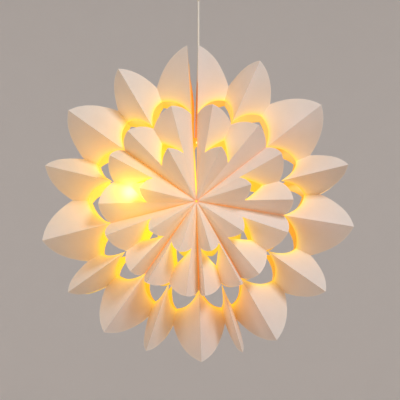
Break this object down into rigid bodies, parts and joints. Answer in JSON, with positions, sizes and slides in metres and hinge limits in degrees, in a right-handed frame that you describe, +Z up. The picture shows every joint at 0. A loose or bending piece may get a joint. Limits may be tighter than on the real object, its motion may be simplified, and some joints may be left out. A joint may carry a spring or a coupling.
{
  "type": "paper star lantern",
  "caption": "Hanging star of pleated, cut white paper cells round an inner lamp, open by a gap at the top where its cord comes down.",
  "frame": {"origin": "centre of the hanging eye's bore, above the star, at the star's mid-depth", "axes": "+Z up along the hanging cord; +Y along the star's own axis from its front to its back; the front faces -Y; the star's centre is 366 mm below the origin"},
  "size_m": [0.4919, 0.249, 0.6252],
  "materials": {
    "white_paper": "matte",
    "opal_glass": "opal",
    "white_plastic": "satin",
    "contact_ceramic": "matte",
    "bar_wood": "plain",
    "cord_sleeve": "matte"
  },
  "bodies": {
    "root": {"paper_cell_1": "white_paper", "paper_cell_2": "white_paper", "paper_cell_3": "white_paper", "paper_cell_4": "white_paper", "paper_cell_5": "white_paper", "paper_cell_6": "white_paper", "paper_cell_7": "white_paper", "paper_cell_8": "white_paper", "lamp_bulb": "opal_glass", "holder_sleeve": "white_plastic", "contact_base": "contact_ceramic", "holder_cap": "white_plastic", "hanging_bar": "bar_wood", "cord_grip": "white_plastic", "lamp_cord": "cord_sleeve", "hanging_eye": "white_plastic"}
  },
  "joints": []
}
